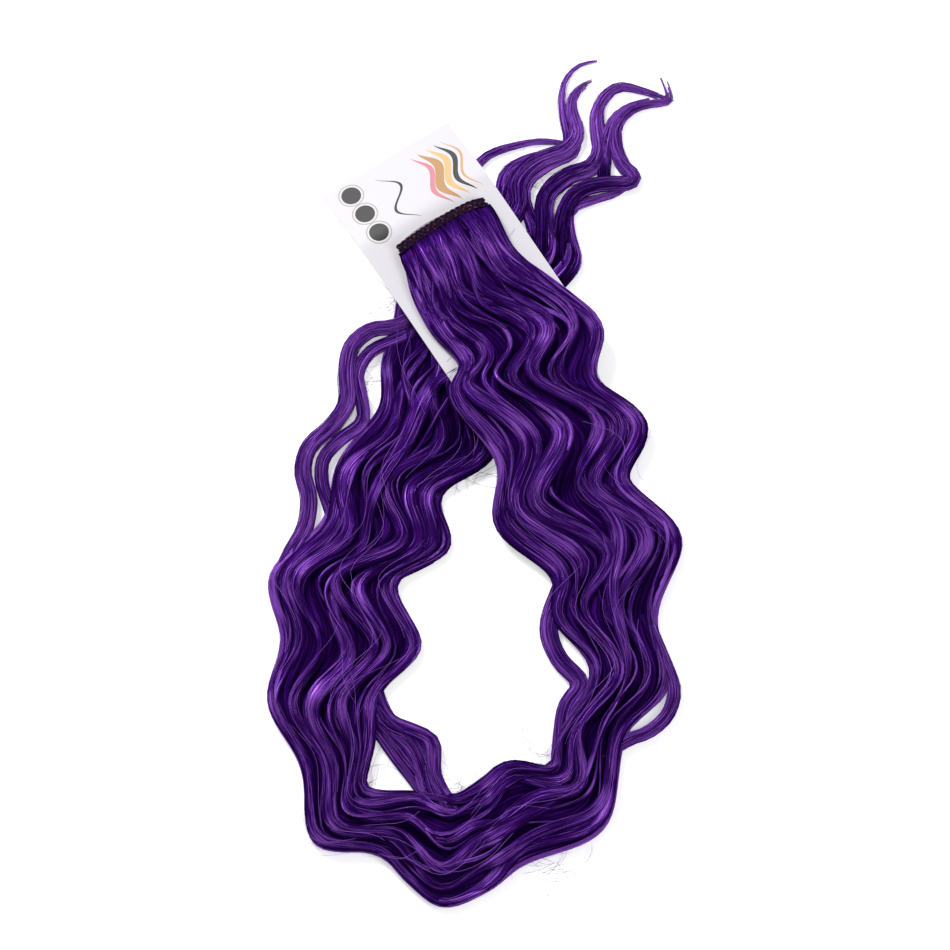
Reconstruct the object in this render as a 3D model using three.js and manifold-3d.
import * as THREE from 'three';
import Module from 'manifold-3d';

// A clip-in hair extension lying on the plain card that carries it. The hair leaves a short sewn
// weft band, runs down in deep waves, turns back in one loop, passes under the card and ends in curls.
// Millimetres, +Z up, +Y towards the tips of the curls, the floor at Z = 0.

// Driving dimensions of the hair as it lies
const spreadWidth = 167;
const spreadLength = 362;
const bundleHeight = 9;
const lockWidth = 6;
const lockHeight = 5.2;

// Driving dimensions of the card
const cardWidth = 60;
const cardLength = 100;
const cardThickness = 0.5;
const cardTurnAngle = THREE.MathUtils.degToRad(32.5);
const cardEdgeToBand = 39.5;
const bendToBand = 8;
const cardBendLength = 6;

// Driving dimensions of the weft band and of the clip sewn under it
const bandLength = 40;
const bandWidth = 4;
const bandThickness = 2.4;
const bandArch = 1.2;
const bandHook = 0.9;
const bandOffCentre = 2;
const clipLength = 32;
const clipWidth = 8.5;
const clipThickness = 1.6;
const clipTurnAngle = THREE.MathUtils.degToRad(-4);
const clipOffCentre = -1;
const clipSlotLength = 20;
const clipSlotWidth = 2.2;

const clearance = 0.3;
const hairClearance = 0.4;

// Where the hair passes under the card it is pressed to this share of the bundle's height
const pressedShare = 0.8;

// How the bundle's locks show across its section
const lockCount = 6;
const lockValleyShare = 0.7;
const edgeShare = 0.2;
const lockSwayShare = 0.16;
const stepsPerRow = 4;

// Heights of the pile: pressed hair, card, clip, band
const cardUnderside = pressedShare * bundleHeight + hairClearance;
const hairOnCard = cardUnderside + cardThickness + clearance;
const clipUnderside = cardUnderside + cardThickness + clearance;
const bandUnderside = clipUnderside + clipThickness + clearance;
const hairOnClip = bandUnderside;

const percent = 0.01;

// A place on the spread hair: across from the middle and up from the lowest lock, in percent
function spreadPlace(across, up) {
  return new THREE.Vector2(across * percent * spreadWidth, (up * percent - 0.5) * spreadLength);
}

const weftCentre = spreadPlace(-8.5, 79);

// A place measured from the weft's centre, along the band and up the card
function weftPlace(along, up) {
  return new THREE.Vector2(along, up).rotateAround(new THREE.Vector2(), cardTurnAngle).add(weftCentre);
}

// The bundle's run, a row at each crest and trough of its waves, from the band to the tips. Outer and
// inner are its two edges, in percent of the spread. Height is a share of the bundle's height, and the
// lifts are shares of the way up to the card's top that each edge lies at; clip is the same for the clip.
const runColumns = [
  'outerAcross', 'outerUp', 'innerAcross', 'innerUp', 'height', 'outerLift', 'innerLift', 'clip',
];
const runTable = [
  [4.5, 80, -17, 74, 0.45, 1, 1, 1],
  [9.5, 76, -15, 70, 0.6, 1, 1, 0],
  [19, 72.5, -10.5, 66, 0.7, 1, 1, 0],
  [30.6, 67.3, -4, 62.5, 0.8, 1, 1, 0],
  [29, 61, -6.5, 58.5, 0.9, 0.8, 1, 0],
  [41.6, 56.2, 4.9, 51, 1, 0.3, 1, 0],
  [36.5, 49.8, 4.2, 43.7, 1, 0.05, 0.5, 0],
  [49.5, 43.2, 17.8, 38.4, 1, 0, 0.1, 0],
  [43, 34, 17.6, 33.6, 1, 0, 0, 0],
  [46, 25.5, 27.2, 27.4, 1, 0, 0, 0],
  [35.5, 20, 18.5, 19.5, 1, 0, 0, 0],
  [30.8, 9.1, 17, 16.5, 0.95, 0, 0, 0],
  [11.6, 5.1, 8, 17.1, 1, 0, 0, 0],
  [3, 2, 1.5, 15.1, 1, 0, 0, 0],
  [-8, 0, -4.5, 13.2, 1, 0, 0, 0],
  [-16.5, 3, -9.5, 13.5, 0.95, 0, 0, 0],
  [-24, 6.3, -14.5, 13.5, 0.9, 0, 0, 0],
  [-39, 7.4, -26, 14, 0.9, 0, 0, 0],
  [-41.6, 16.3, -24, 19, 0.95, 0, 0, 0],
  [-50, 23.7, -22.5, 25.2, 1, 0, 0, 0],
  [-46.5, 31, -12.7, 30.3, 1, 0, 0, 0],
  [-49.8, 38.6, -19, 37.5, 1, 0, 0, 0],
  [-37, 44.8, -6, 41.6, 0.95, 0, 0, 0],
  [-33.2, 52.2, -8.5, 48, 0.85, 0, 0, 0],
  [-23.5, 58.2, 4.3, 52.3, pressedShare, 0, 0, 0],
  [-23, 63.6, 5.5, 59, pressedShare, 0, 0, 0],
  [-20.3, 67.7, 13.5, 65.5, pressedShare, 0, 0, 0],
  [-17, 76, 14, 70.5, pressedShare, 0, 0, 0],
  [-6, 81, 24.5, 75.5, pressedShare, 0, 0, 0],
  [8, 83, 21, 80.5, 0.4, 0, 0, 0],
];
const loopRow = 15;

// The hair stays up this far past the card's edges, then comes down to the floor over this length
const drapeMargin = 3;
const drapeFall = 30;

// Locks that lie apart from the bundle. Width and height are shares of a lock's own, tip is the share
// of both that is left at the far end, and the path's places are in percent of the spread.
const looseLocks = [
  { width: 1.1, height: 1, tip: 0.9,
    path: [[-12, 70], [-19.5, 67.9], [-25.3, 67.5], [-30, 65.5], [-31.2, 62.2], [-31, 58.8], [-34.8, 56],
      [-39.9, 53.7], [-41.6, 50.8], [-40.1, 47.6], [-40.9, 44.2], [-44.3, 41.2], [-47.2, 38]] },
  { width: 0.85, height: 0.9, tip: 0.9,
    path: [[-12, 68.2], [-18.8, 66.4], [-25.3, 65], [-28.6, 62.3], [-27.6, 59.3], [-27.3, 56.6],
      [-32.2, 54.7], [-36.5, 52.4], [-37, 49.7], [-35.4, 47], [-33, 43.5], [-31, 40]] },
  { width: 1.3, height: 1, tip: 0.9,
    path: [[-25, 25.5], [-21.3, 21.6], [-15, 20.2], [-11.2, 19.2], [-10.7, 17.6], [-10.2, 14.7],
      [-5.2, 10.6]] },
  { width: 1.3, height: 0.9, tip: 0.9,
    path: [[-26, 24.2], [-20.5, 20.8], [-15.4, 18.6], [-13, 16], [-11.8, 13.5], [-7.6, 10]] },
  { width: 1, height: 0.7, tip: 0.9,
    path: [[-27, 22.8], [-22.2, 19.9], [-18.3, 17.3], [-14.2, 14.8], [-10.8, 12.2], [-7.5, 9.4]] },
  { width: 0.85, height: 0.9, tip: 0.9,
    path: [[40, 34], [43.6, 30], [47, 25.5], [45.5, 22.4], [41, 20.4], [35.7, 19.4], [28, 17]] },
  { width: 1.2, height: 0.9, tip: 0.9,
    path: [[21, 38], [17.2, 32.8], [19.6, 28.9], [24.8, 26], [21.4, 23.2], [20.2, 19], [19.5, 15]] },
  { width: 1.5, height: 1, tip: 0.12,
    path: [[-1, 77], [9.5, 81.5], [9.8, 85], [14.5, 87.5], [21.5, 88.9], [24.4, 90.8], [23.2, 93.3],
      [23.2, 95], [25.3, 96.5], [28.2, 97.3]] },
  { width: 1.3, height: 0.9, tip: 0.2,
    path: [[0, 78], [5.5, 82.5], [7.5, 86], [12.8, 87.6], [19.5, 88.7], [24.8, 90.3], [24.6, 93]] },
  { width: 0.5, height: 0.7, tip: 0.2,
    path: [[16, 87.4], [20.2, 88.5], [22, 90.2], [21, 92.5], [20.5, 94.7], [21.1, 96.8], [22.8, 98.4],
      [25.6, 99.4], [29.2, 99.8]] },
  { width: 0.7, height: 0.6, tip: 0.2,
    path: [[-1, 78], [-2.5, 83.9], [0.8, 87.5], [5.6, 89], [15.2, 90.1], [23.6, 89.7]] },
  { width: 1.5, height: 1, tip: 0.15,
    path: [[16, 75], [16.3, 80.3], [16.8, 83.4], [22, 85.7], [27.4, 86.7], [29.8, 88.6], [29.3, 91.2],
      [29.1, 93.2], [30.8, 95.2], [34.6, 96.6], [41, 96], [47.4, 94.8]] },
  { width: 1.3, height: 0.95, tip: 0.15,
    path: [[20, 75], [20.8, 80.8], [24.2, 83.8], [30.3, 84.8], [36.3, 84.9], [38, 85.9], [35.2, 87.2],
      [33.3, 90.2], [34.2, 92.3], [37.5, 93.9], [42, 94.6], [46.8, 95], [45.2, 97.8]] },
  { width: 0.9, height: 0.8, tip: 0.3,
    path: [[30.6, 85.4], [31, 88], [31.5, 90.5], [33.4, 92.8], [37, 94.2], [42, 95]] },
  { width: 0.9, height: 0.8, tip: 0.25,
    path: [[20, 73], [24, 75.5], [22.4, 79], [22.6, 81.8], [28.5, 83.1], [34, 83.9], [37.5, 85.3]] },
  { width: 1, height: 0.8, tip: 0.5,
    path: [[12, 75], [14, 79], [11.4, 83], [12.6, 85.4], [17.6, 87.2], [23.5, 88.6], [24.3, 91]] },
];
const lockSteps = 2;

// Smooth value at a share of the way from b to c, with a and d as their neighbours
function smoothBetween(a, b, c, d, share) {
  const cubic = 3 * (b - c) + d - a;
  const square = 2 * a - 5 * b + 4 * c - d;
  return b + 0.5 * share * (c - a + share * (square + share * cubic));
}

// Values of every column at a place between the rows of a table
function rowAt(rows, place) {
  const last = rows.length - 1;
  const first = Math.min(Math.floor(place), last - 1);
  const around = [-1, 0, 1, 2].map((step) => rows[THREE.MathUtils.clamp(first + step, 0, last)]);
  return Object.fromEntries(Object.keys(rows[0]).map((column) => {
    const [a, b, c, d] = around.map((row) => row[column]);
    return [column, smoothBetween(a, b, c, d, place - first)];
  }));
}

// Triangles that close a ring, turned the way that the ring turns
function capFaces(ring) {
  const start = ring[0];
  const reach = ring.reduce((far, point) => (point.distanceTo(start) > far.distanceTo(start) ? point : far));
  const across = reach.clone().sub(start).setZ(0).normalize();
  const flat = ring.map((point) => new THREE.Vector2(point.clone().sub(start).dot(across), point.z));
  const turn = Math.sign(THREE.ShapeUtils.area(flat));
  return THREE.ShapeUtils.triangulateShape(flat, []).map(([a, b, c]) => {
    const faceTurn = Math.sign(THREE.ShapeUtils.area([flat[a], flat[b], flat[c]]));
    return faceTurn === turn ? [a, b, c] : [a, c, b];
  });
}

// Closed skin over rings of equal count. Each ring goes over the top from left to right as seen along
// the way that the rings follow, and back along the bottom.
function loft(rings) {
  const count = rings[0].length;
  const faces = capFaces(rings[0]).map(([a, b, c]) => [a, c, b]);
  for (let step = 0; step < rings.length - 1; step += 1) {
    for (let side = 0; side < count; side += 1) {
      const near = step * count + side;
      const nearNext = step * count + ((side + 1) % count);
      faces.push([near, nearNext, nearNext + count], [near, nearNext + count, near + count]);
    }
  }
  const endStart = (rings.length - 1) * count;
  capFaces(rings[rings.length - 1]).forEach((face) => faces.push(face.map((corner) => corner + endStart)));
  const geometry = new THREE.BufferGeometry();
  const positions = rings.flat().flatMap((point) => point.toArray());
  geometry.setAttribute('position', new THREE.Float32BufferAttribute(positions, 3));
  geometry.setIndex(faces.flat());
  return geometry;
}

const wasm = await Module();
wasm.setup();

function toSolid(geometry) {
  const vertProperties = new Float32Array(geometry.getAttribute('position').array);
  const triVerts = new Uint32Array(geometry.getIndex().array);
  return new wasm.Manifold(new wasm.Mesh({ numProp: 3, vertProperties, triVerts }));
}

function toGeometry(solid) {
  const mesh = solid.getMesh();
  const geometry = new THREE.BufferGeometry();
  geometry.setAttribute('position', new THREE.BufferAttribute(new Float32Array(mesh.vertProperties), 3));
  geometry.setIndex(new THREE.BufferAttribute(new Uint32Array(mesh.triVerts), 1));
  return geometry;
}

// How far up the card the band's line lies at a share of its length, arched, with its right end hooked
function bandLine(share) {
  const hookStart = 0.84;
  const hook = Math.max(0, (share - hookStart) / (1 - hookStart));
  return bandArch * (1 - (2 * share - 1) ** 2) - bandHook * hook ** 2;
}

// The place of the hair's first row, under the band, from its right end to its left
function weftEdgePlace(share) {
  const up = bandLine(1 - share) - bandWidth / 2 - clearance;
  return weftPlace((0.5 - share) * bandLength, up);
}

function runRows() {
  const table = runTable.map((values) => {
    const row = Object.fromEntries(runColumns.map((column, index) => [column, values[index]]));
    const outer = spreadPlace(row.outerAcross, row.outerUp);
    const inner = spreadPlace(row.innerAcross, row.innerUp);
    const { height, outerLift, innerLift, clip } = row;
    const edges = { outerX: outer.x, outerY: outer.y, innerX: inner.x, innerY: inner.y };
    return { ...edges, height, outerLift, innerLift, clip };
  });
  const outer = weftEdgePlace(0);
  const inner = weftEdgePlace(1);
  const first = {
    outerX: outer.x, outerY: outer.y, innerX: inner.x, innerY: inner.y,
    height: bandThickness / bundleHeight, outerLift: 1, innerLift: 1, clip: 1,
  };
  return [first, ...table];
}

const bundleRows = runRows();

// The height that the hair drapes to over the card: all of it above the card, none past the fall
function cardDrape(place) {
  const local = place.clone().sub(weftCentre).rotateAround(new THREE.Vector2(), -cardTurnAngle);
  const past = new THREE.Vector2(
    Math.abs(local.x + bandOffCentre) - cardWidth / 2,
    cardEdgeToBand - cardLength - local.y,
  ).clampScalar(0, spreadLength).length();
  return 1 - THREE.MathUtils.smoothstep(past, drapeMargin, drapeMargin + drapeFall);
}

// Shares across the bundle of the valleys between its locks, swaying along the run
function lockEdges(place) {
  return Array.from({ length: lockCount + 1 }, (_, index) => {
    const inside = index > 0 && index < lockCount;
    const sway = inside ? lockSwayShare * Math.sin(0.8 * place + 2.1 * index) : 0;
    return (index + sway) / lockCount;
  });
}

// The bundle's section as shares across and up: a valley and two shoulders for each lock, then the base
function bundleSection(place) {
  const edges = lockEdges(place);
  const crown = (across) => edgeShare + (1 - edgeShare) * Math.sqrt(Math.sin(Math.PI * across));
  const section = [];
  for (let index = 0; index < lockCount; index += 1) {
    const width = edges[index + 1] - edges[index];
    const valley = index === 0 ? 1 : lockValleyShare;
    const fullness = 0.9 + 0.1 * Math.sin(1.3 * place + 1.7 * index);
    section.push({ across: edges[index], up: valley * crown(edges[index]) });
    [0.28, 0.72].forEach((share) => {
      const across = edges[index] + share * width;
      section.push({ across, up: fullness * crown(across) });
    });
  }
  section.push({ across: 1, up: edgeShare });
  [0.97, 0.66, 0.34, 0.03].forEach((across) => section.push({ across, up: 0 }));
  return section;
}

function bundleRing(place, drapes) {
  const row = rowAt(bundleRows, place);
  const firstRowShare = Math.max(0, 1 - place);
  return bundleSection(place).map(({ across, up }) => {
    const straight = new THREE.Vector2(
      THREE.MathUtils.lerp(row.outerX, row.innerX, across),
      THREE.MathUtils.lerp(row.outerY, row.innerY, across),
    );
    const chord = weftEdgePlace(0).lerp(weftEdgePlace(1), across);
    const bowed = straight.add(weftEdgePlace(across).sub(chord).multiplyScalar(firstRowShare));
    const lift = THREE.MathUtils.lerp(row.outerLift, row.innerLift, across);
    const lifted = drapes ? Math.max(0, lift, cardDrape(bowed)) : Math.max(0, lift);
    const base = lifted * hairOnCard + Math.max(0, row.clip) * (hairOnClip - hairOnCard);
    return new THREE.Vector3(bowed.x, bowed.y, base + up * row.height * bundleHeight);
  });
}

// The part of the bundle between two rows; the part that lies over the card drapes over it
function bundleRun(fromRow, toRow, drapes) {
  const steps = (toRow - fromRow) * stepsPerRow;
  const rings = Array.from({ length: steps + 1 }, (_, step) => (
    bundleRing(fromRow + step / stepsPerRow, drapes)
  ));
  return toSolid(loft(rings));
}

function looseLock({ width, height, tip, path }) {
  const curve = new THREE.SplineCurve(path.map(([across, up]) => spreadPlace(across, up)));
  const steps = (path.length - 1) * lockSteps;
  const section = [
    [-1, 0.25], [-0.75, 0.75], [-0.25, 1], [0.25, 1], [0.75, 0.75], [1, 0.25], [0.8, 0], [-0.8, 0],
  ];
  const rings = Array.from({ length: steps + 1 }, (_, step) => {
    const share = step / steps;
    const centre = curve.getPoint(share);
    const along = curve.getTangent(share);
    const left = new THREE.Vector2(-along.y, along.x);
    const fade = THREE.MathUtils.lerp(1, tip, share ** 2);
    return section.map(([across, up]) => {
      const place = centre.clone().addScaledVector(left, -0.5 * across * width * fade * lockWidth);
      return new THREE.Vector3(place.x, place.y, up * height * fade * lockHeight);
    });
  });
  return toSolid(loft(rings));
}

function hairGeometry() {
  const lastRow = bundleRows.length - 1;
  const solids = [
    bundleRun(0, loopRow, true),
    bundleRun(loopRow, lastRow, false),
    ...looseLocks.map(looseLock),
  ];
  return toGeometry(solids.reduce((joined, solid) => joined.add(solid)));
}

// The card: its top edge on the floor, a straight rise, a bend, and a level stretch on the pressed hair.
// In the weft's own frame, so its width runs along X and its length down -Y.
function cardGeometry() {
  const bendEnd = cardEdgeToBand - bendToBand;
  const bendStart = bendEnd - cardBendLength;
  const rise = cardUnderside / (bendStart + cardBendLength / 2);
  const bendSteps = 5;
  const underside = [[0, 0]];
  for (let step = 0; step <= bendSteps; step += 1) {
    const share = step / bendSteps;
    const height = rise * (bendStart + cardBendLength * (share - share ** 2 / 2));
    underside.push([bendStart + cardBendLength * share, height]);
  }
  underside.push([cardLength, cardUnderside]);
  const topside = underside.map(([down, height]) => [down, height + cardThickness]).reverse();
  const outline = [...underside, ...topside];
  const shape = new THREE.Shape(outline.map(([down, height]) => new THREE.Vector2(down, height)));
  const geometry = new THREE.ExtrudeGeometry(shape, { depth: cardWidth, bevelEnabled: false });
  geometry.rotateX(Math.PI / 2).rotateZ(-Math.PI / 2);
  return geometry.translate(cardWidth / 2 - bandOffCentre, cardEdgeToBand, 0);
}

// The sewn band: two stitched ridges side by side, swept along its arched line
function bandGeometry() {
  const section = [
    [0.5, 0.45], [0.4, 0.9], [0.27, 1], [0.1, 0.85], [0, 0.7], [-0.1, 0.85], [-0.27, 1], [-0.4, 0.9],
    [-0.5, 0.45], [-0.47, 0], [0.47, 0],
  ];
  const steps = 20;
  const rings = Array.from({ length: steps + 1 }, (_, step) => {
    const share = step / steps;
    const centre = new THREE.Vector2((share - 0.5) * bandLength, bandLine(share));
    return section.map(([up, high]) => new THREE.Vector3(
      centre.x, centre.y + up * bandWidth, high * bandThickness,
    ));
  });
  return loft(rings);
}

// The snap clip under the band, closed: a flat bow with round ends and one long slot
function clipGeometry() {
  const round = clipWidth * 0.3;
  const straight = clipLength / 2 - round;
  const shape = new THREE.Shape();
  shape.absarc(-straight, 0, round, Math.PI / 2, Math.PI * 1.5, false);
  shape.quadraticCurveTo(0, -clipWidth * 0.7, straight, -round);
  shape.absarc(straight, 0, round, -Math.PI / 2, Math.PI / 2, false);
  shape.quadraticCurveTo(0, clipWidth * 0.7, -straight, round);
  const slotRound = clipSlotWidth / 2;
  const slotStraight = clipSlotLength / 2 - slotRound;
  const slot = new THREE.Path();
  slot.absarc(-slotStraight, 0, slotRound, Math.PI / 2, Math.PI * 1.5, false);
  slot.absarc(slotStraight, 0, slotRound, -Math.PI / 2, Math.PI / 2, false);
  slot.closePath();
  shape.holes.push(slot);
  return new THREE.ExtrudeGeometry(shape, { depth: clipThickness, bevelEnabled: false, curveSegments: 8 });
}

function addPiece(parent, name, geometry, look) {
  geometry.deleteAttribute('uv');
  geometry.computeVertexNormals();
  const mesh = new THREE.Mesh(geometry, new THREE.MeshStandardMaterial(look));
  mesh.name = name;
  parent.add(mesh);
  return mesh;
}

const group = new THREE.Group();
addPiece(group, 'hair', hairGeometry(), { color: 0x4b1987, roughness: 0.45, metalness: 0 });

const onCard = new THREE.Group();
onCard.position.set(weftCentre.x, weftCentre.y, 0);
onCard.rotation.z = cardTurnAngle;
group.add(onCard);
addPiece(onCard, 'card', cardGeometry(), { color: 0xeeebf2, roughness: 0.6, metalness: 0 });

const clip = addPiece(onCard, 'snap_clip', clipGeometry(), { color: 0x8d8f96, roughness: 0.3, metalness: 1 });
clip.position.set(clipOffCentre, 0, clipUnderside);
clip.rotation.z = clipTurnAngle;

const band = addPiece(onCard, 'weft_band', bandGeometry(), { color: 0x2d1232, roughness: 0.8, metalness: 0 });
band.position.z = bandUnderside;

export default group;
